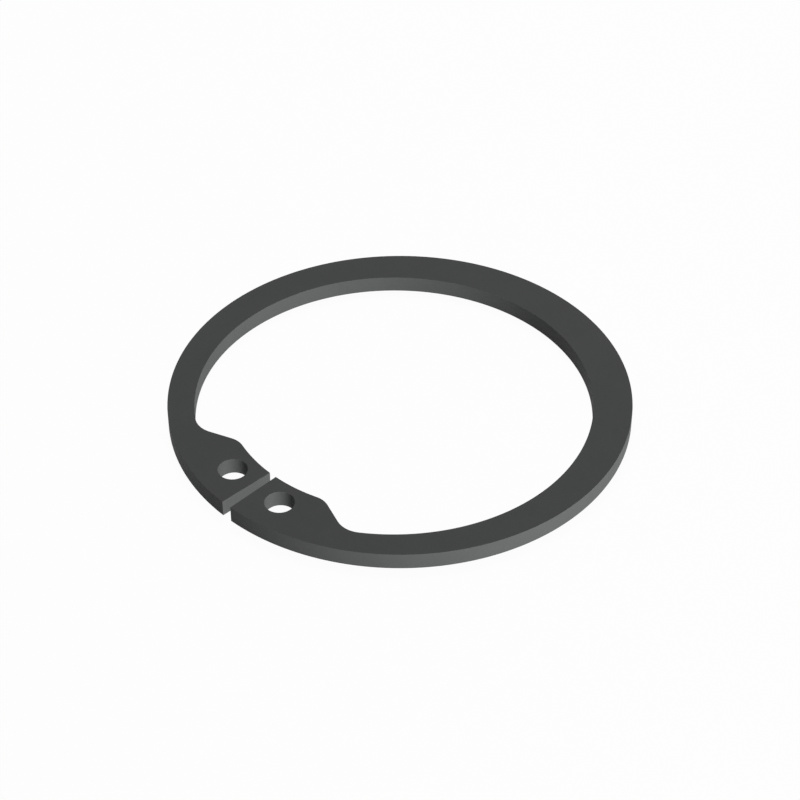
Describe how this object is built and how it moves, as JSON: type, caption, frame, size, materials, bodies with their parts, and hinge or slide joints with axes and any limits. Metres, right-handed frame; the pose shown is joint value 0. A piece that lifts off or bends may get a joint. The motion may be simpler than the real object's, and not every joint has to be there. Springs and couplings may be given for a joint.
{
  "type": "circlip retaining ring",
  "caption": "Flat internal circlip of spring steel that snaps into a bore groove, with inward lugs either side of a narrow gap and plier holes in them",
  "frame": {"origin": "on the ring's axis, at its lower face", "axes": "+Z along the ring's axis, out of its upper face; -Y through the middle of the gap between the lugs; +X to the right with the gap towards the viewer"},
  "size_m": [0.04, 0.04, 0.0015],
  "materials": {
    "phosphated_steel": "spring steel with a matt dark grey phosphate coating"
  },
  "bodies": {
    "root": {"retaining_ring": "phosphated_steel"}
  },
  "joints": []
}
